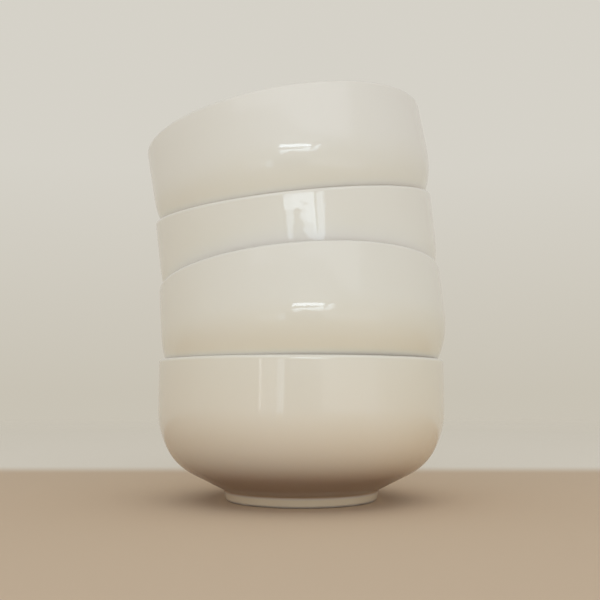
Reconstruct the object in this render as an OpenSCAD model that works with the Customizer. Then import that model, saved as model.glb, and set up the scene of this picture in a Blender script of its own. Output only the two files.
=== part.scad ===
// Stack of four footed latte bowls of glazed stoneware, each leaning a
// little in the rim of the bowl under it. The origin is the middle of the
// lowest foot, on the table, with +Z up and the front towards -Y.

/* [Bowl] */
// Widest diameter of a bowl
bowl_d = 135; // [120:1:160]
// Height of a bowl from its foot to its rim
bowl_h = 65.5; // [60:0.5:80]
// How far the wall draws in from its widest line to the rim, on the radius
rim_in = 0.1; // [0.1:0.1:2]
// Thickness of the rim, which is fully rounded
rim_t = 2.6; // [2:0.1:4]
// Thickness of the wall from its widest line down to the floor
wall_t = 4.2; // [3:0.1:6]
// Thickness of the floor over the hollow of the foot
floor_t = 4.5; // [3:0.5:8]

/* [Belly] */
// Radius of the curve from the widest line down to the seat line
shoulder_r = 40; // [35:1:60]
// Radius of the tighter curve from the seat line down to the flank
belly_r = 27.5; // [15:0.5:33]
// Angle below level that the surface faces at the seat line
seat_angle = 26; // [20:1:32]
// Rise of the straight flank above level, from the foot outwards
flank_slope = 27; // [22:0.5:35]
// Radius of the soft bend from the inside floor into the flank
floor_bend_r = 30; // [10:1:45]

/* [Foot] */
// Diameter of the neck, where the foot ring meets the flank
neck_d = 73; // [60:1:80]
// Height of the foot ring at the neck
foot_h = 5; // [3.5:0.5:7]
// How far the foot ring draws in from the neck to the table, on the radius
foot_in = 1; // [0:0.1:2]
// Width of the foot ring at the table
foot_w = 4; // [3:0.1:6]
// Rounding of the outer edge that the foot ring stands on
foot_edge_r = 1.4; // [0.3:0.1:1.6]
// Rounding of the inner edge that the foot ring stands on
foot_lip_r = 0.6; // [0.3:0.1:1]
// Rounding of the crease between the foot ring and the flank
neck_bend_r = 2; // [0.5:0.1:4]
// Depth of the hollow inside the foot ring
hollow_h = 4.5; // [2.5:0.5:6]
// Rounding of the corner inside that hollow
hollow_bend_r = 1.5; // [0.5:0.1:1.6]

/* [Stack] */
// Gap between a bowl's belly and the rim that it rests in
seat_gap = 0.3; // [0.1:0.05:0.6]
// Lean of the second bowl from the axis of the first
lean_2 = 9.3; // [0:0.1:12]
// The way that the second bowl leans, turned from +X towards +Y
way_2 = 119.5; // [0:0.5:359]
// Lean of the third bowl from the axis of the second
lean_3 = 12.9; // [0:0.1:14]
// The way that the third bowl leans, in the second bowl's frame
way_3 = 262; // [0:0.5:359]
// Lean of the fourth bowl from the axis of the third
lean_4 = 7.5; // [0:0.1:12]
// The way that the fourth bowl leans, in the third bowl's frame
way_4 = 118.5; // [0:0.5:359]

/* [Hidden] */
$fn = 96;
glaze = "#ece4d6";

// Steps along a wide curve and round a small edge of the outline
curve_steps = 10;
edge_steps = 5;
rim_steps = 8;

lean = [0, lean_2, lean_3, lean_4];
way = [0, way_2, way_3, way_4];

// Radii from the bowl's axis
bowl_r = bowl_d / 2;
rim_r = bowl_r - rim_in;
neck_r = neck_d / 2;
foot_r = neck_r - foot_in;
hollow_r = foot_r - foot_w;

// The foot ring's outer side rises at this angle from the table
foot_angle = atan2(foot_h, foot_in);
edge_reach = foot_edge_r * tan(foot_angle / 2);

// The outer curve of the lower half: the flank's line runs into the belly's
// arc, and that into the shoulder's arc, which ends upright at the widest
// line. Heights here are counted from the widest line.
flank_face = 90 - flank_slope;
shoulder_mid_x = bowl_r - shoulder_r;
belly_mid_x = shoulder_mid_x + (shoulder_r - belly_r) * cos(seat_angle);
belly_mid_drop = (shoulder_r - belly_r) * sin(seat_angle);
flank_end_x = belly_mid_x + belly_r * cos(flank_face);
flank_end_drop = belly_mid_drop + belly_r * sin(flank_face);

// Heights from the table
widest_z = foot_h + (flank_end_x - neck_r) * tan(flank_slope) + flank_end_drop;
belly_mid_z = widest_z - belly_mid_drop;
rim_mid_z = bowl_h - rim_t / 2;
floor_z = hollow_h + floor_t;

// The wall above the widest line is an arc that starts upright
wall_rise = rim_mid_z - widest_z;
wall_arc_r = (pow(wall_rise, 2) + pow(rim_in, 2)) / (2 * rim_in);
wall_arc = asin(wall_rise / wall_arc_r);

// At the seat line the surface's normal meets the bowl's axis at the seat's
// middle. The whole lower half lies within a ball of the seat's radius round
// that point, so a bowl can lean any way and still clear the rim below.
seat_x = shoulder_mid_x + shoulder_r * cos(seat_angle);
seat_r = seat_x / cos(seat_angle);
seat_mid_z = widest_z - shoulder_r * sin(seat_angle) + seat_r * sin(seat_angle);

// Height of that point over the middle of the rounded rim that holds it
rim_ring_r = rim_r - rim_t / 2;
seat_rise = sqrt(pow(seat_r + rim_t / 2 + seat_gap, 2) - pow(rim_ring_r, 2));

// Points of an arc, from one angle to another
function arc(mid, r, from, to, steps) = [
    for (i = [0 : steps])
        let (a = from + (to - from) * i / steps)
            mid + r * [cos(a), sin(a)]
];

// The arc that rounds the crease between the foot ring and the flank
function neck_bend() =
    let (along = [cos(foot_angle), sin(foot_angle)])
    let (reach = neck_bend_r * tan((foot_angle - flank_slope) / 2))
    let (out = [sin(foot_angle), -cos(foot_angle)])
    let (mid = [neck_r, foot_h] - reach * along + neck_bend_r * out)
        arc(mid, neck_bend_r, foot_angle + 90, flank_slope + 90, edge_steps);

// The underside of the foot, from the axis to the neck
function foot_line() = concat(
    [[0, hollow_h]],
    arc([hollow_r - hollow_bend_r, hollow_h - hollow_bend_r], hollow_bend_r, 90, 0, edge_steps),
    arc([hollow_r + foot_lip_r, foot_lip_r], foot_lip_r, 180, 270, edge_steps),
    arc([foot_r - edge_reach, foot_edge_r], foot_edge_r, 270, 270 + foot_angle, edge_steps),
    neck_bend()
);

// The outside from the flank's end up to the widest line
function outer_belly() = concat(
    arc([belly_mid_x, belly_mid_z], belly_r, -flank_face, -seat_angle, curve_steps),
    arc([shoulder_mid_x, widest_z], shoulder_r, -seat_angle, 0, curve_steps)
);

// The wall from the widest line up, inset by a thickness that eases from
// one value at the widest line to another at the rim
function wall_line(inset, rim_inset) = [
    for (i = [0 : curve_steps])
        let (share = i / curve_steps)
        let (ease = pow(share, 2) * (3 - 2 * share))
        let (r = wall_arc_r - inset - (rim_inset - inset) * ease)
            [bowl_r - wall_arc_r, widest_z] + r * [cos(wall_arc * share), sin(wall_arc * share)]
];

// The inside from the widest line down to the flank's end
function inner_belly() = concat(
    arc([shoulder_mid_x, widest_z], shoulder_r - wall_t, 0, -seat_angle, curve_steps),
    arc([belly_mid_x, belly_mid_z], belly_r - wall_t, -seat_angle, -flank_face, curve_steps)
);

// The bend from the inside flank to the level floor, and on to the axis
function floor_line() =
    let (inner_end = [belly_mid_x, belly_mid_z] + (belly_r - wall_t) * [cos(flank_face), -sin(flank_face)])
    let (mid_z = floor_z + floor_bend_r)
    let (back = (mid_z - floor_bend_r * cos(flank_slope) - inner_end[1]) / sin(flank_slope))
    let (mid_x = inner_end[0] + back * cos(flank_slope) - floor_bend_r * sin(flank_slope))
        concat(arc([mid_x, mid_z], floor_bend_r, -flank_face, -90, curve_steps), [[0, floor_z]]);

// The second point of a pair that two joined lines share is left out
function after_first(line) = [for (i = [1 : len(line) - 1]) line[i]];
function reversed(line) = [for (i = [len(line) - 1 : -1 : 0]) line[i]];

function bowl_outline() = concat(
    foot_line(),
    outer_belly(),
    after_first(wall_line(0, 0)),
    after_first(arc([rim_ring_r, rim_mid_z], rim_t / 2, 0, 180, rim_steps)),
    after_first(reversed(wall_line(wall_t, rim_t))),
    after_first(inner_belly()),
    floor_line()
);

// Places a bowl in the stack: the seat's middle stands over the rim below,
// and the bowl leans about that point
module in_stack(place) {
    if (place == 0)
        children();
    else
        in_stack(place - 1)
            translate([0, 0, rim_mid_z + seat_rise])
                rotate(a = lean[place], v = [-sin(way[place]), cos(way[place]), 0])
                    translate([0, 0, -seat_mid_z])
                        children();
}

module bowl() {
    rotate_extrude()
        polygon(bowl_outline());
}

module bowl_1() {
    color(glaze) in_stack(0) bowl();
}

module bowl_2() {
    color(glaze) in_stack(1) bowl();
}

module bowl_3() {
    color(glaze) in_stack(2) bowl();
}

module bowl_4() {
    color(glaze) in_stack(3) bowl();
}

bowl_1();
bowl_2();
bowl_3();
bowl_4();
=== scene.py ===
"""Stack of four glazed latte bowls on a plain pale floor, in soft window light."""

import math

import bpy
import numpy as np
from mathutils import Matrix, Vector


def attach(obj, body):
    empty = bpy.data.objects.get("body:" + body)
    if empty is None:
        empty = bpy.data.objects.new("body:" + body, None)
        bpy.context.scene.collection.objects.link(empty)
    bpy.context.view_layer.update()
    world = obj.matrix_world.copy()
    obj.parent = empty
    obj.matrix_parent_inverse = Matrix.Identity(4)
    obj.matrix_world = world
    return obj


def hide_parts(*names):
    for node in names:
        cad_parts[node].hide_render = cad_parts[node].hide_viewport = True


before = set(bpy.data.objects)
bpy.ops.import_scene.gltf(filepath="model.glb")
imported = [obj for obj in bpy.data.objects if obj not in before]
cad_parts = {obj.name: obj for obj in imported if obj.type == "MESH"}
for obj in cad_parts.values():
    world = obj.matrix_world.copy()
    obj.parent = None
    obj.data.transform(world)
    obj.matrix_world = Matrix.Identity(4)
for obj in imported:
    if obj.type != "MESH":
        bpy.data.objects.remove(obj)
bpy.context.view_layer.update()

MM = 0.001

# Sizes of a bowl in mm, as in the CAD model

BOWL_D, BOWL_H = 135.0, 65.5
RIM_IN, RIM_T = 0.1, 2.6
WALL_T, FLOOR_T = 4.2, 4.5
SHOULDER_R, BELLY_R = 40.0, 27.5
SEAT_ANGLE, FLANK_SLOPE = math.radians(26), math.radians(27)
FLOOR_BEND_R = 30.0
NECK_D, FOOT_H, FOOT_IN, FOOT_W = 73.0, 5.0, 1.0, 4.0
FOOT_EDGE_R, FOOT_LIP_R, NECK_BEND_R = 1.4, 0.6, 2.0
HOLLOW_H, HOLLOW_BEND_R = 4.5, 1.5
SEAT_GAP = 0.3
# Each bowl's lean from the axis of the one below, and the way it leans, in degrees
LEANS = ((0.0, 0.0), (9.3, 119.5), (12.9, 262.0), (7.5, 118.5))

BOWL_R = BOWL_D / 2
NECK_R = NECK_D / 2
FOOT_R = NECK_R - FOOT_IN
HOLLOW_R = FOOT_R - FOOT_W
FOOT_ANGLE = math.atan2(FOOT_H, FOOT_IN)
EDGE_REACH = FOOT_EDGE_R * math.tan(FOOT_ANGLE / 2)
FLANK_FACE = math.pi / 2 - FLANK_SLOPE
SHOULDER_X = BOWL_R - SHOULDER_R
BELLY_X = SHOULDER_X + (SHOULDER_R - BELLY_R) * math.cos(SEAT_ANGLE)
BELLY_DROP = (SHOULDER_R - BELLY_R) * math.sin(SEAT_ANGLE)
FLANK_X = BELLY_X + BELLY_R * math.cos(FLANK_FACE)
FLANK_DROP = BELLY_DROP + BELLY_R * math.sin(FLANK_FACE)
WIDEST_Z = FOOT_H + (FLANK_X - NECK_R) * math.tan(FLANK_SLOPE) + FLANK_DROP
BELLY_Z = WIDEST_Z - BELLY_DROP
RIM_Z = BOWL_H - RIM_T / 2
RIM_R = BOWL_R - RIM_IN - RIM_T / 2
FLOOR_Z = HOLLOW_H + FLOOR_T
WALL_RISE = RIM_Z - WIDEST_Z
WALL_ARC_R = (WALL_RISE**2 + RIM_IN**2) / (2 * RIM_IN)
WALL_ARC = math.asin(WALL_RISE / WALL_ARC_R)
SEAT_X = SHOULDER_X + SHOULDER_R * math.cos(SEAT_ANGLE)
SEAT_R = SEAT_X / math.cos(SEAT_ANGLE)
SEAT_Z = WIDEST_Z - SHOULDER_R * math.sin(SEAT_ANGLE) + SEAT_R * math.sin(SEAT_ANGLE)
SEAT_RISE = math.sqrt((SEAT_R + RIM_T / 2 + SEAT_GAP) ** 2 - RIM_R**2)

# How finely the outline is drawn, in mm, and how many points there are round a bowl
ARC_STEP, LEAST_ARC_STEPS = 0.6, 8
WALL_POINTS = 36
FINE_STEP, SMALL_STEP, STEP, WIDE_STEP = 0.3, 0.5, 1.0, 2.0
SAME_POINT = 0.02
SEGMENTS = 224

# Easing of the outline's joints, in mm: its widest reach, its least one low on the flank, how much of
# the height over the foot it takes between them, and the step at which it is worked out. Outside it
# starts at a radius and a height close to the foot, inside at a radius, and both end under the rim.
WIDEST_EASE, LEAST_EASE, EASE_SHARE, EASE_STEP = 3.0, 0.25, 0.6, 0.1
EASE_OUT_R, EASE_OUT_Z = NECK_R - 1.5, FOOT_H - 1
EASE_IN_R, EASE_END_Z = 3, RIM_Z - 1

# A formed wall's unevenness in mm, all of it inwards. It is out of round in two and in three lobes.
OVAL_2, OVAL_3 = 0.02, 0.015
# Both faces have long and short waves, so many of them round the bowl. They start and are full at
# these heights outside, under the rim, and these radii inside.
LONG_WAVES, SHORT_WAVES = 0.016, 0.003
LONG_ROUND, SHORT_ROUND = (2, 7), (8, 16)
WAVE_COUNT, WAVE_LENGTHS, SHORTER = 7, (25, 70), 1.6
FACE_START, FACE_FULL = FOOT_H + 1, FOOT_H + 9
FACE_END, FACE_FULL_END = RIM_Z + 1, RIM_Z - 2
WELL_START, WELL_FULL = 4, 24
# The rim is out of level, which starts and is full at these heights
RIM_DIP, DIP_START, DIP_FULL = 0.05, 50, 66
# Random starts of waves round the bowl lie between 0 and this, about a turn
START = 6.28
SEED = 40

# The bare band of the foot ring in mm: from the table up and outwards from a radius, and how far its
# clay lies below the glaze
BARE_H, BARE_START = 0.9, HOLLOW_R - 0.5
GLAZE_T = 0.12


def arc(mid, r, start, end):
    """Points of an arc."""
    steps = max(LEAST_ARC_STEPS, int(abs(end - start) * r / ARC_STEP))
    a = np.linspace(start, end, steps + 1)
    return np.stack([mid[0] + r * np.cos(a), mid[1] + r * np.sin(a)], 1)


def straight(a, b, step):
    """Points of a straight line, about a step apart."""
    n = max(1, int(np.hypot(*(np.array(b) - np.array(a))) / step))
    t = np.linspace(0, 1, n + 1)[:, None]
    return np.array(a) * (1 - t) + np.array(b) * t


def wall(inset, rim_inset):
    """The wall from the widest line to the rim, inset by a thickness that eases towards the rim."""
    share = np.linspace(0, 1, WALL_POINTS)
    ease = share**2 * (3 - 2 * share)
    r = WALL_ARC_R - inset - (rim_inset - inset) * ease
    a = WALL_ARC * share
    return np.stack([BOWL_R - WALL_ARC_R + r * np.cos(a), WIDEST_Z + r * np.sin(a)], 1)


def bowl_outline():
    """A bowl's outline, from its axis under the foot, out and up to the rim, and down the inside to
    the axis again."""
    half, quarter = math.pi, math.pi / 2
    along = np.array([math.cos(FOOT_ANGLE), math.sin(FOOT_ANGLE)])
    out = np.array([math.sin(FOOT_ANGLE), -math.cos(FOOT_ANGLE)])
    reach = NECK_BEND_R * math.tan((FOOT_ANGLE - FLANK_SLOPE) / 2)
    neck_mid = np.array([NECK_R, FOOT_H]) - reach * along + NECK_BEND_R * out
    hollow_mid = (HOLLOW_R - HOLLOW_BEND_R, HOLLOW_H - HOLLOW_BEND_R)
    hollow_bend = arc(hollow_mid, HOLLOW_BEND_R, quarter, 0)
    inner_edge = arc((HOLLOW_R + FOOT_LIP_R, FOOT_LIP_R), FOOT_LIP_R, half, half + quarter)
    edge_mid = (FOOT_R - EDGE_REACH, FOOT_EDGE_R)
    outer_edge = arc(edge_mid, FOOT_EDGE_R, half + quarter, half + quarter + FOOT_ANGLE)
    neck = arc(neck_mid, NECK_BEND_R, FOOT_ANGLE + quarter, FLANK_SLOPE + quarter)
    belly = arc((BELLY_X, BELLY_Z), BELLY_R, -FLANK_FACE, -SEAT_ANGLE)
    shoulder = arc((SHOULDER_X, WIDEST_Z), SHOULDER_R, -SEAT_ANGLE, 0)
    rim = arc((RIM_R, RIM_Z), RIM_T / 2, 0, half)
    in_shoulder = arc((SHOULDER_X, WIDEST_Z), SHOULDER_R - WALL_T, 0, -SEAT_ANGLE)
    in_belly = arc((BELLY_X, BELLY_Z), BELLY_R - WALL_T, -SEAT_ANGLE, -FLANK_FACE)
    mid_z = FLOOR_Z + FLOOR_BEND_R
    back = (mid_z - FLOOR_BEND_R * math.cos(FLANK_SLOPE) - in_belly[-1][1]) / math.sin(FLANK_SLOPE)
    mid_x = in_belly[-1][0] + back * math.cos(FLANK_SLOPE) - FLOOR_BEND_R * math.sin(FLANK_SLOPE)
    floor_bend = arc((mid_x, mid_z), FLOOR_BEND_R, -FLANK_FACE, -quarter)
    lines = [
        straight((0, HOLLOW_H), hollow_bend[0], WIDE_STEP),
        hollow_bend,
        straight(hollow_bend[-1], inner_edge[0], FINE_STEP),
        inner_edge,
        straight(inner_edge[-1], outer_edge[0], SMALL_STEP),
        outer_edge,
        straight(outer_edge[-1], neck[0], FINE_STEP),
        neck,
        straight(neck[-1], belly[0], STEP),
        belly,
        shoulder,
        wall(0, 0),
        rim,
        wall(WALL_T, RIM_T)[::-1],
        in_shoulder,
        in_belly,
        straight(in_belly[-1], floor_bend[0], STEP),
        floor_bend,
        straight(floor_bend[-1], (0, FLOOR_Z), WIDE_STEP),
    ]
    points = [lines[0][0]]
    for line in lines:
        for p in line:
            if np.hypot(*(p - points[-1])) > SAME_POINT:
                points.append(p)
    return np.array(points)


def ease_widths(points):
    """How wide to ease the outline at each point: not on the foot or the rim, and least near them."""
    r, z = points.T
    index, top = np.arange(len(points)), np.argmax(z)
    near_rim = np.clip((EASE_END_Z - z) / 2, 0, WIDEST_EASE)
    near_foot = np.clip((z - FOOT_H) * EASE_SHARE, LEAST_EASE, WIDEST_EASE)
    outside = (index < top) & (r > EASE_OUT_R) & (z > EASE_OUT_Z)
    inside = (index > top) & (r > EASE_IN_R)
    return np.where(outside, np.minimum(near_foot, near_rim), 0) + np.where(inside, near_rim, 0)


def eased(points, widths):
    """The outline with its changes of curvature eased over a width at each point."""
    step = np.hypot(*np.diff(points, axis=0).T)
    s = np.concatenate([[0], np.cumsum(step)])
    fine = np.arange(0, s[-1], EASE_STEP)
    x = np.stack([np.interp(fine, s, points[:, i]) for i in (0, 1)], 1)
    out = points.copy()
    for i in range(1, len(points) - 1):
        if widths[i] <= 0:
            continue
        w = np.exp(-0.5 * ((fine - s[i]) / widths[i]) ** 2)
        near = w > 1e-4
        if fine[near][0] <= 0 or fine[near][-1] >= fine[-1]:
            continue
        w = w[near] / w[near].sum()
        # a fitted parabola keeps the place of an even curve and eases only its joints
        t = fine[near] - s[i]
        m2, m4 = (w * t**2).sum(), (w * t**4).sum()
        k = w * (m4 - m2 * t**2) / (m4 - m2**2)
        out[i] = (x[near] * k[:, None]).sum(0)
    return out


def profile_normals(points):
    """Unit vectors out of the clay, one for each point of the outline."""
    d = np.gradient(points, axis=0)
    n = np.stack([d[:, 1], -d[:, 0]], 1)
    return n / np.maximum(np.hypot(*n.T), 1e-9)[:, None]


SHARP_OUTLINE = bowl_outline()
OUTLINE = eased(SHARP_OUTLINE, ease_widths(SHARP_OUTLINE))
NORMALS = profile_normals(OUTLINE)
TOP = int(np.argmax(OUTLINE[:, 1]))


def rising(value, start, full):
    """0 up to a start and 1 from full on, and evenly between them."""
    return np.clip((value - start) / (full - start), 0, 1)


def waves(rng, turn, height, fewest, most, amount):
    """Waves round and up a wall, fewest to most of them round it, between -amount and amount."""
    total = np.zeros(np.broadcast(turn, height).shape)
    weight = 0
    for _ in range(WAVE_COUNT):
        k = rng.integers(fewest, most + 1)
        length = rng.uniform(*WAVE_LENGTHS)
        a = rng.uniform(0.5, 1)
        round_it = np.cos(k * turn + rng.uniform(0, 2 * math.pi))
        up_it = np.cos(2 * math.pi * height / length + rng.uniform(0, 2 * math.pi))
        total += a * round_it * up_it
        weight += a
    return amount * total / weight


def uneven_wall(rng, turn):
    """Radius and height of each of the outline's points at each angle round the bowl, in mm. The
    outline's two ends on the axis are left out."""
    r, z = (OUTLINE[1:-1, i][:, None] for i in (0, 1))
    nr, nz = (NORMALS[1:-1, i][:, None] for i in (0, 1))
    index = np.arange(1, len(OUTLINE) - 1)[:, None]
    # the whole wall is a little out of round, more so towards the rim
    oval = OVAL_2 * (1 - np.cos(2 * turn + rng.uniform(0, START)))
    oval = oval + OVAL_3 * (1 - np.cos(3 * turn + rng.uniform(0, START)))
    r_moved = r - oval * rising(z, FOOT_H, BOWL_H) ** 1.5
    # slow unevenness of both faces, which the glaze's reflections show, but not of the rim and foot
    face = np.where(index < TOP, rising(z, FACE_START, FACE_FULL), 0)
    face = face + np.where(index > TOP, rising(r, WELL_START, WELL_FULL), 0)
    depth = LONG_WAVES + waves(rng, turn, z, *LONG_ROUND, LONG_WAVES)
    depth = depth + SHORT_WAVES + waves(rng, turn, z * SHORTER, *SHORT_ROUND, SHORT_WAVES)
    depth = depth * face * rising(z, FACE_END, FACE_FULL_END)
    r_moved = r_moved - nr * depth
    z_moved = z - nz * depth
    # the rim isn't quite level
    dip = RIM_DIP * (1 - np.cos(2 * turn + rng.uniform(0, START)))
    z_moved = z_moved - dip * rising(z, DIP_START, DIP_FULL)
    # the foot is wiped clean of glaze where it stands, so its clay lies a little lower there
    bare = (index < TOP) & (z < BARE_H) & (r > BARE_START)
    r_moved = np.where(bare, r_moved - nr * GLAZE_T, r_moved)
    return r_moved, np.broadcast_to(z_moved, r_moved.shape)


def bowl_object(number, placed, glaze, clay):
    """One bowl, built in its own frame, with its foot on z = 0 and its axis on z, and then set in
    the stack. The mesh keeps each point's place in that frame, for the materials."""
    turn = np.linspace(0, 2 * math.pi, SEGMENTS, endpoint=False)
    r, z = uneven_wall(np.random.default_rng(SEED + number), turn)
    rings = np.stack([r * np.cos(turn), r * np.sin(turn), z], -1)
    verts = np.vstack([[0, 0, OUTLINE[0, 1]], rings.reshape(-1, 3), [0, 0, OUTLINE[-1, 1]]]) * MM
    rows, last = len(rings), len(verts) - 1

    def at(row, j):
        return 1 + row * SEGMENTS + j % SEGMENTS

    faces = [(0, at(0, j + 1), at(0, j)) for j in range(SEGMENTS)]
    slots = [0] * SEGMENTS
    for row in range(rows - 1):
        a, b = OUTLINE[row + 1], OUTLINE[row + 2]
        is_bare = row + 1 < TOP and max(a[1], b[1]) < BARE_H + 0.05 and a[0] > BARE_START
        for j in range(SEGMENTS):
            faces.append((at(row, j), at(row, j + 1), at(row + 1, j + 1), at(row + 1, j)))
            slots.append(1 if is_bare else 0)
    faces += [(last, at(rows - 1, j), at(rows - 1, j + 1)) for j in range(SEGMENTS)]
    slots += [0] * SEGMENTS

    mesh = bpy.data.meshes.new(f"glazed_bowl_{number}")
    in_stack = verts @ np.array(placed.to_3x3()).T + np.array(placed.translation)
    mesh.from_pydata(in_stack.tolist(), [], faces)
    own = mesh.attributes.new("bowl_frame", "FLOAT_VECTOR", "POINT")
    own.data.foreach_set("vector", verts.ravel())
    outer = np.repeat(np.arange(1, rows + 1) <= TOP, SEGMENTS).astype(float)
    mesh.attributes.new("outer", "FLOAT", "POINT").data.foreach_set("value", [1.0, *outer, 0.0])
    mesh.materials.append(glaze)
    mesh.materials.append(clay)
    mesh.polygons.foreach_set("material_index", slots)
    mesh.polygons.foreach_set("use_smooth", [True] * len(faces))
    mesh.update()
    bowl = bpy.data.objects.new(f"glazed_bowl_{number}", mesh)
    bpy.context.scene.collection.objects.link(bowl)
    return bowl


# Nodes


def new_material(name):
    material = bpy.data.materials.new(name)
    material.use_nodes = True
    nodes, links = material.node_tree.nodes, material.node_tree.links
    return material, nodes, links, nodes["Principled BSDF"]


def add(nodes, kind, **values):
    """A new node. A value in_NAME goes to its input NAME, and any other to its setting."""
    node = nodes.new(kind)
    for key, value in values.items():
        if key.startswith("in_"):
            node.inputs[key[3:].replace("_", " ")].default_value = value
        else:
            setattr(node, key, value)
    return node


def attribute(nodes, name):
    return add(nodes, "ShaderNodeAttribute", attribute_type="GEOMETRY", attribute_name=name)


def noise(nodes, links, place, scale, detail, roughness=0.5):
    """A cloudy pattern over a place in metres."""
    node = add(nodes, "ShaderNodeTexNoise", in_Scale=scale, in_Detail=detail, in_Roughness=roughness)
    links.new(place, node.inputs["Vector"])
    return node.outputs["Fac"]


def between(nodes, links, value, start, end, low=0.0, high=1.0, smooth=True):
    """low where the value is at start or before it, high where it is at end or beyond it."""
    node = add(nodes, "ShaderNodeMapRange", interpolation_type="SMOOTHSTEP" if smooth else "LINEAR")
    for socket, number in zip(("From Min", "From Max", "To Min", "To Max"), (start, end, low, high)):
        node.inputs[socket].default_value = number
    links.new(value, node.inputs["Value"])
    return node.outputs["Result"]


def combine(nodes, links, operation, a, b):
    node = add(nodes, "ShaderNodeMath", operation=operation)
    links.new(a, node.inputs[0])
    links.new(b, node.inputs[1])
    return node.outputs[0]


def mix_colour(nodes, links, factor, a, b):
    """a where the factor is 0 and b where it is 1."""
    node = add(nodes, "ShaderNodeMix", data_type="RGBA")
    links.new(factor, node.inputs["Factor"])
    for name, value in (("A", a), ("B", b)):
        socket = [s for s in node.inputs if s.name == name and s.type == "RGBA"][0]
        if isinstance(value, tuple):
            socket.default_value = (*value, 1)
        else:
            links.new(value, socket)
    return [s for s in node.outputs if s.type == "RGBA"][0]


def ramp(nodes, links, value, tones):
    """A colour that runs through tones, each given with the value at which it stands."""
    node = add(nodes, "ShaderNodeValToRGB")
    stops = node.color_ramp.elements
    while len(stops) < len(tones):
        stops.new(1)
    for stop, (place, tone) in zip(stops, tones):
        stop.position, stop.color = place, (*tone, 1)
    links.new(value, node.inputs[0])
    return node.outputs["Color"]


def bumped(nodes, links, height, strength, distance):
    node = add(nodes, "ShaderNodeBump", in_Strength=strength, in_Distance=distance)
    links.new(height, node.inputs["Height"])
    return node.outputs["Normal"]


# Materials

GLAZE, GLAZE_CLOUD = (0.781, 0.742, 0.668), (0.7738, 0.7336, 0.6554)
# Painted shade: a dark brown that darkens the crease over the foot, and a little the well inside
PAINTED_SHADE = (0.590, 0.405, 0.245)
# Painted warm bounce light: the foot ring lighter and warmer than the glaze
FOOT_BOUNCE_LIGHT = (0.950, 0.815, 0.580)
# The lip: lighter where its glaze is thin, and partly a painted highlight along the rim
LIP_GLAZE_AND_HIGHLIGHT = (0.805, 0.762, 0.678)
CLAY, CLAY_DARK = (0.800, 0.710, 0.560), (0.690, 0.600, 0.460)

# Heights over a bowl's foot in metres: the crease between foot ring and flank, with the reach of the
# painted shade above it, the edges below it of the shade and of the foot's painted bounce light,
# and where the lip's tone starts and is full
CREASE_Z, SHADE_REACH, SHADE_EDGE, FOOT_EDGE = FOOT_H * MM, 0.016, 0.0015, 0.002
LIP_START, LIP_FULL = (RIM_Z - 0.4) * MM, (RIM_Z + 0.9) * MM
# How much of the painted shade's tone the well of the inside takes
INSIDE_SHADE = 0.15
# Each bowl takes its patterns from another place
PATTERN_STEP = (0.31, 0.17)


def glaze_material(number):
    """Smooth cream glaze: lighter on the lip, where it is thin, with a painted highlight there;
    painted warm bounce light on the foot ring, and painted dark, warm shade in the crease over the
    foot.
    """
    material, nodes, links, shader = new_material(f"cream_glaze_{number}")
    own = attribute(nodes, "bowl_frame").outputs["Vector"]
    moved = add(nodes, "ShaderNodeVectorMath", operation="ADD")
    links.new(own, moved.inputs[0])
    moved.inputs[1].default_value = (PATTERN_STEP[0] * number, PATTERN_STEP[1] * number, 0)
    place = moved.outputs[0]
    split = add(nodes, "ShaderNodeSeparateXYZ")
    links.new(own, split.inputs[0])
    height = split.outputs["Z"]

    cloud = noise(nodes, links, place, scale=28.0, detail=3.0)
    cloud = between(nodes, links, cloud, 0.38, 0.66, smooth=False)
    colour = mix_colour(nodes, links, cloud, GLAZE, GLAZE_CLOUD)

    # painted shade, dark and warm, in the crease between foot and flank, and a little in the well of
    # the inside
    crease_shade = between(nodes, links, height, CREASE_Z + SHADE_REACH, CREASE_Z)
    above = between(nodes, links, height, CREASE_Z - SHADE_EDGE, CREASE_Z)
    outer = attribute(nodes, "outer").outputs["Fac"]
    share = between(nodes, links, outer, 0, 1, low=INSIDE_SHADE, smooth=False)
    for limit in (above, share):
        crease_shade = combine(nodes, links, "MULTIPLY", crease_shade, limit)
    colour = mix_colour(nodes, links, crease_shade, colour, PAINTED_SHADE)

    # painted warm bounce light on the foot ring; and lighter on the lip, where the glaze is thin,
    # with a painted highlight along it
    foot = between(nodes, links, height, CREASE_Z, CREASE_Z - FOOT_EDGE)
    colour = mix_colour(nodes, links, foot, colour, FOOT_BOUNCE_LIGHT)
    lip = between(nodes, links, height, LIP_START, LIP_FULL)
    colour = mix_colour(nodes, links, lip, colour, LIP_GLAZE_AND_HIGHLIGHT)
    links.new(colour, shader.inputs["Base Color"])

    # a soft, slightly uneven haze under a clear gloss
    haze = noise(nodes, links, place, scale=60.0, detail=2.0)
    rough = between(nodes, links, haze, 0.3, 0.7, low=0.32, high=0.42, smooth=False)
    links.new(rough, shader.inputs["Roughness"])
    shader.inputs["IOR"].default_value = 1.5
    shader.inputs["Specular IOR Level"].default_value = 0.25
    shader.inputs["Coat Weight"].default_value = 0.85
    shader.inputs["Coat Roughness"].default_value = 0.035
    shader.inputs["Coat IOR"].default_value = 1.5

    # and a very fine dimpling of the surface
    skin = noise(nodes, links, place, scale=260.0, detail=2.0, roughness=0.4)
    normal = bumped(nodes, links, skin, strength=0.06, distance=0.0005)
    links.new(normal, shader.inputs["Normal"])
    links.new(normal, shader.inputs["Coat Normal"])
    return material


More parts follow.
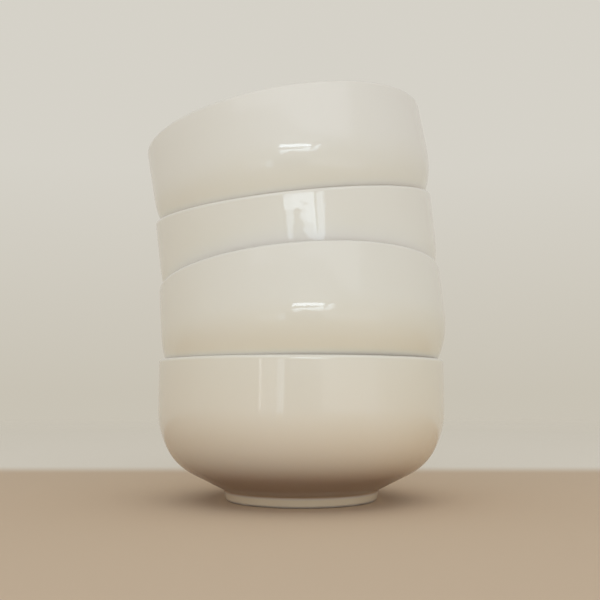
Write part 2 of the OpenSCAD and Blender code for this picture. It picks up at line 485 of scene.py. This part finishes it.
def clay_material():
    """Bare fired clay of the wiped foot ring: stained, speckled and dull."""
    material, nodes, links, shader = new_material("bare_clay")
    place = add(nodes, "ShaderNodeTexCoord").outputs["Object"]
    grain = noise(nodes, links, place, scale=900.0, detail=4.0, roughness=0.6)
    stain = noise(nodes, links, place, scale=70.0, detail=3.0)
    stain = between(nodes, links, stain, 0.35, 0.7, smooth=False)
    colour = mix_colour(nodes, links, stain, CLAY, CLAY_DARK)
    speck = between(nodes, links, grain, 0.62, 0.72, smooth=False)
    links.new(mix_colour(nodes, links, speck, colour, CLAY_DARK), shader.inputs["Base Color"])
    rough = between(nodes, links, grain, 0.3, 0.7, low=0.6, high=0.85, smooth=False)
    links.new(rough, shader.inputs["Roughness"])
    normal = bumped(nodes, links, grain, strength=0.25, distance=0.0002)
    links.new(normal, shader.inputs["Normal"])
    return material


# The four bowls, each leaning in the rim of the one below

bare_clay = clay_material()
to_rim = Matrix.Translation((0, 0, (RIM_Z + SEAT_RISE) * MM))
to_foot = Matrix.Translation((0, 0, -SEAT_Z * MM))
placed = Matrix.Identity(4)
for number, (lean, way) in enumerate(LEANS, 1):
    if number > 1:
        way = math.radians(way)
        tip = Matrix.Rotation(math.radians(lean), 4, Vector((-math.sin(way), math.cos(way), 0)))
        placed = placed @ to_rim @ tip @ to_foot
    piece = bowl_object(number, placed, glaze_material(number), bare_clay)
    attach(piece, f"bowl_{number}")
    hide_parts(f"bowl_{number}")

# Floor, in metres: pale tan near the bowls, up to a soft straight edge behind them, then in the
# room's paler tone, and fading out far away

TABLE_TONE, ROOM_TONE = (0.70, 0.55, 0.395), (0.92, 0.855, 0.73)
TABLE_NEAR, TABLE_FAR, TABLE_SIDE = -1.6, 0.157, 1.6
FAR_EDGE, OTHER_EDGES = 0.03, 0.12
FLOOR_R, FLOOR_SIDES = 2.0, 96
FADE_START, FADE_END = 0.25, 1.4
# Just under the feet, so that the faces don't coincide
FLOOR_TOP = -0.00002
# What the floor bounces up, by distance from a point a little left of the foot: dark and brown close
# to the bowls, as from a wooden table, and pale further off
BOUNCE_MID_X = -0.010
BOUNCES = (
    (0.04, (0.13, 0.03, 0.00)),
    (0.075, (0.07, 0.01, 0.00)),
    (0.105, (1.00, 0.40, 0.00)),
    (0.15, (0.94, 0.88, 0.30)),
    (0.24, (0.94, 1.00, 0.93)),
    (0.42, (1.00, 1.00, 1.00)),
)


def within(nodes, links, value, low, high, low_edge, high_edge):
    """1 where the value lies between two others, easing to 0 outside them."""
    rise = between(nodes, links, value, low - low_edge, low + low_edge)
    fall = between(nodes, links, value, high + high_edge, high - high_edge)
    return combine(nodes, links, "MULTIPLY", rise, fall)


def floor():
    turns = [2 * math.pi * i / FLOOR_SIDES for i in range(FLOOR_SIDES)]
    mesh = bpy.data.meshes.new("floor")
    corners = [(FLOOR_R * math.cos(a), FLOOR_R * math.sin(a), FLOOR_TOP) for a in turns]
    mesh.from_pydata(corners, [], [range(FLOOR_SIDES)])
    ground = bpy.data.objects.new("floor", mesh)
    bpy.context.scene.collection.objects.link(ground)
    material, nodes, links, shader = new_material("floor")
    place = add(nodes, "ShaderNodeTexCoord").outputs["Object"]
    split = add(nodes, "ShaderNodeSeparateXYZ")
    links.new(place, split.inputs[0])
    depth = within(nodes, links, split.outputs["Y"], TABLE_NEAR, TABLE_FAR, OTHER_EDGES, FAR_EDGE)
    width = within(nodes, links, split.outputs["X"], -TABLE_SIDE, TABLE_SIDE, OTHER_EDGES, OTHER_EDGES)
    table = combine(nodes, links, "MULTIPLY", depth, width)
    seen = mix_colour(nodes, links, table, ROOM_TONE, TABLE_TONE)
    aside = add(nodes, "ShaderNodeVectorMath", operation="DISTANCE")
    links.new(place, aside.inputs[0])
    aside.inputs[1].default_value = (BOUNCE_MID_X, 0, 0)
    bounce = ramp(nodes, links, aside.outputs["Value"], BOUNCES)
    path = add(nodes, "ShaderNodeLightPath")
    colour = mix_colour(nodes, links, path.outputs["Is Diffuse Ray"], seen, bounce)
    links.new(colour, shader.inputs["Base Color"])
    shader.inputs["Roughness"].default_value = 1.0
    shader.inputs["Specular IOR Level"].default_value = 0.0
    reach = add(nodes, "ShaderNodeVectorMath", operation="LENGTH")
    links.new(place, reach.inputs[0])
    fade = between(nodes, links, reach.outputs["Value"], FADE_END, FADE_START)
    links.new(fade, shader.inputs["Alpha"])
    mesh.materials.append(material)


floor()

# Light: a room all round, a soft lamp above in front, and a window behind the camera, which the
# glaze reflects. What the camera and the glaze see of the room itself is its pale wall. Directions
# are azimuths, from straight behind the camera (-Y) towards +X, and elevations, both in degrees as
# seen from the middle of the stack, and distances are metres from there.

MIDDLE = Vector((0, 0, 0.1))
WALL_TONE, WALL_FOOT_TONE = (0.668, 0.643, 0.580), (0.580, 0.542, 0.460)
# Height of a direction, from level (0) to straight up (1), where the wall reaches its full tone
WALL_FOOT_RISE = 0.25
# The room's light by height of its direction
ROOM_LIGHT = (
    (0.0, (0.67, 0.58, 0.55)),
    (0.15, (0.70, 0.59, 0.52)),
    (0.4, (0.70, 0.73, 0.72)),
    (1.0, (0.47, 0.46, 0.48)),
)
FRONT_LIGHT = (0.60, 0.64, 0.70)
FRONT_AZIMUTH, FRONT_ELEVATION, FRONT_DISTANCE = 3, 40, 0.8
FRONT_WIDTH, FRONT_HEIGHT = 80, 30
WHITE, DAY = (1.0, 1.0, 1.0), (0.76, 0.89, 1.0)
# The window: its bright head, a bar below it, and what shows of the panes between things on the
# sill, each with its radiance, the width over which its edge fades, and its corners
WINDOW_DISTANCE = 2.5
WINDOW = {
    "window_head": (9.5, 0.25, ((-7.3, 8.5), (16.2, 7.9), (16.2, 11.2), (-7.3, 12.2))),
    "window_bar": (6.0, 0.25, (
        (-7.4, 3.9), (-0.2, 4.1), (1.2, 4.7), (2.8, 4.1), (15.4, 3.8), (15.4, 7.3), (12.0, 6.9),
        (8.5, 5.9), (-7.2, 5.8),
    )),
    "pane_left": (3.9, 0.25, (
        (-7.4, 3.9), (-7.0, 3.0), (-6.5, 2.0), (-6.2, 0.8), (-5.2, 0.8), (-3.6, 1.5), (-1.9, 2.2),
        (-0.7, 3.0), (-0.2, 3.9),
    )),
    "pane_middle": (3.8, 0.25, (
        (2.8, 3.9), (6.0, 3.2), (9.5, 2.4), (13.8, 2.3), (15.6, 2.9), (15.6, 3.8),
    )),
    "pane_right": (4.1, 0.25, (
        (17.6, 7.4), (17.1, 5.0), (16.4, 3.9), (15.0, 3.3), (13.4, 2.4), (20.3, 3.0), (22.3, 4.8),
        (24.0, 7.4),
    )),
    "pane_slant": (7.0, 0.3, ((18.8, 7.6), (20.8, 7.1), (24.4, 10.2), (22.4, 10.9))),
}
# Things beside the camera that only show in the glaze: a door frame, a curtain's edge, lighter walls
# and a darker gap, each with its radiance, tint, the width over which its edge fades, its left and
# right sides, and its foot. All end at one height.
CARD_DISTANCE, CARD_TOP = 0.55, -1.4
CARDS = {
    "strip_far": (3.4, WHITE, 0.4, -29.8, -28.9, -7.2),
    "wall_left": (0.90, WHITE, 1.0, -28.2, -18.5, -9.5),
    "strip_near": (2.1, DAY, 0.9, -16.6, -12.4, -9.0),
    "dark_gap": (0.2, WHITE, 1.0, -11.4, 14.4, -8.5),
    "wall_right": (1.0, WHITE, 1.2, 15.6, 57.0, -8.5),
}


def room():
    world = bpy.data.worlds.new("room")
    bpy.context.scene.world = world
    world.use_nodes = True
    nodes, links = world.node_tree.nodes, world.node_tree.links
    split = add(nodes, "ShaderNodeSeparateXYZ")
    links.new(add(nodes, "ShaderNodeTexCoord").outputs["Generated"], split.inputs[0])
    height = split.outputs["Z"]
    light = ramp(nodes, links, height, ROOM_LIGHT)
    path = add(nodes, "ShaderNodeLightPath")
    seen = path.outputs["Is Camera Ray"]
    for name in ("Is Glossy Ray", "Is Transmission Ray"):
        seen = combine(nodes, links, "MAXIMUM", seen, path.outputs[name])
    up = between(nodes, links, height, 0, WALL_FOOT_RISE, smooth=False)
    wall_seen = mix_colour(nodes, links, up, WALL_FOOT_TONE, WALL_TONE)
    background = nodes["Background"]
    links.new(mix_colour(nodes, links, seen, light, wall_seen), background.inputs["Color"])
    background.inputs["Strength"].default_value = 1.0


def direction(azimuth, elevation):
    a, e = math.radians(azimuth), math.radians(elevation)
    return Vector((math.sin(a) * math.cos(e), -math.cos(a) * math.cos(e), math.sin(e)))


def soft_front():
    """A rectangular lamp that faces the stack."""
    light = bpy.data.lights.new("soft_front", "AREA")
    light.shape = "RECTANGLE"
    light.size = 2 * FRONT_DISTANCE * math.tan(math.radians(FRONT_WIDTH / 2))
    light.size_y = 2 * FRONT_DISTANCE * math.tan(math.radians(FRONT_HEIGHT / 2))
    # a lamp's power spreads over its area and the half space before it
    light.energy = max(FRONT_LIGHT) * light.size * light.size_y * math.pi
    light.color = [share / max(FRONT_LIGHT) for share in FRONT_LIGHT]
    lamp = bpy.data.objects.new("soft_front", light)
    lamp.location = MIDDLE + direction(FRONT_AZIMUTH, FRONT_ELEVATION) * FRONT_DISTANCE
    lamp.rotation_euler = (MIDDLE - lamp.location).to_track_quat("-Z", "Y").to_euler()
    lamp.visible_camera = False
    bpy.context.scene.collection.objects.link(lamp)


def widened(corners, by):
    """The corners of a shape, each moved outwards from both of its sides."""
    corners = [Vector(c) for c in corners]
    after_each = corners[1:] + corners[:1]
    turn = sum(a.x * b.y - b.x * a.y for a, b in zip(corners, after_each))
    moved = []
    for before, here, after in zip(corners[-1:] + corners[:-1], corners, after_each):
        into, onward = (here - before).normalized(), (after - here).normalized()
        out = Vector((into.y + onward.y, -into.x - onward.x)) * math.copysign(1, turn)
        moved.append(here + out * by / max(0.4, out.length_squared / 2))
    return moved


def glowing(name, radiance, tint, corners, soft, distance):
    """A flat shape that glows, facing the stack, and fades to nothing at its edge."""
    rings = [corners, widened(corners, soft)]
    count = len(corners)
    points = [MIDDLE + direction(a, e) * distance for ring in rings for a, e in ring]
    edge = [(i, (i + 1) % count, count + (i + 1) % count, count + i) for i in range(count)]
    mesh = bpy.data.meshes.new(name)
    mesh.from_pydata(points, [], [list(range(count)), *edge])
    levels = [1.0] * count + [0.0] * count
    mesh.attributes.new("glow", "FLOAT", "POINT").data.foreach_set("value", levels)
    shape = bpy.data.objects.new(name, mesh)
    bpy.context.scene.collection.objects.link(shape)
    material, nodes, links, _ = new_material(name)
    nodes.clear()
    both = add(nodes, "ShaderNodeMixShader")
    links.new(attribute(nodes, "glow").outputs["Fac"], both.inputs[0])
    links.new(add(nodes, "ShaderNodeBsdfTransparent").outputs[0], both.inputs[1])
    light = add(nodes, "ShaderNodeEmission", in_Color=(*tint, 1), in_Strength=radiance)
    links.new(light.outputs[0], both.inputs[2])
    links.new(both.outputs[0], add(nodes, "ShaderNodeOutputMaterial").inputs[0])
    mesh.materials.append(material)
    shape.visible_camera = False
    return shape


room()
soft_front()
for name, (radiance, soft, corners) in WINDOW.items():
    glowing(name, radiance, DAY, corners, soft, WINDOW_DISTANCE)
for name, (radiance, tint, soft, left, right, foot) in CARDS.items():
    corners = ((left, foot), (right, foot), (right, CARD_TOP), (left, CARD_TOP))
    card = glowing(name, radiance, tint, corners, soft, CARD_DISTANCE)
    card.visible_diffuse = card.visible_shadow = False

# Camera: focal length in pixels of the 600 pixel frame, place in metres, turn in radians

FRAME_PIXELS, SENSOR_MM = 600, 36
FOCAL_PIXELS = 871.6
CAMERA_BACK, CAMERA_UP = 0.4196, 0.05034
PITCH, YAW = 0.10505, -0.00135
camera = bpy.data.objects.new("camera", bpy.data.cameras.new("camera"))
bpy.context.scene.collection.objects.link(camera)
camera.data.sensor_width = SENSOR_MM
camera.data.lens = SENSOR_MM * FOCAL_PIXELS / FRAME_PIXELS
camera.data.clip_start = 0.01
camera.location = (0, -CAMERA_BACK, CAMERA_UP)
ahead = Vector((math.sin(YAW) * math.cos(PITCH), math.cos(YAW) * math.cos(PITCH), math.sin(PITCH)))
camera.rotation_euler = ahead.to_track_quat("-Z", "Y").to_euler()
bpy.context.scene.camera = camera

bpy.context.scene.view_settings.view_transform = "Standard"
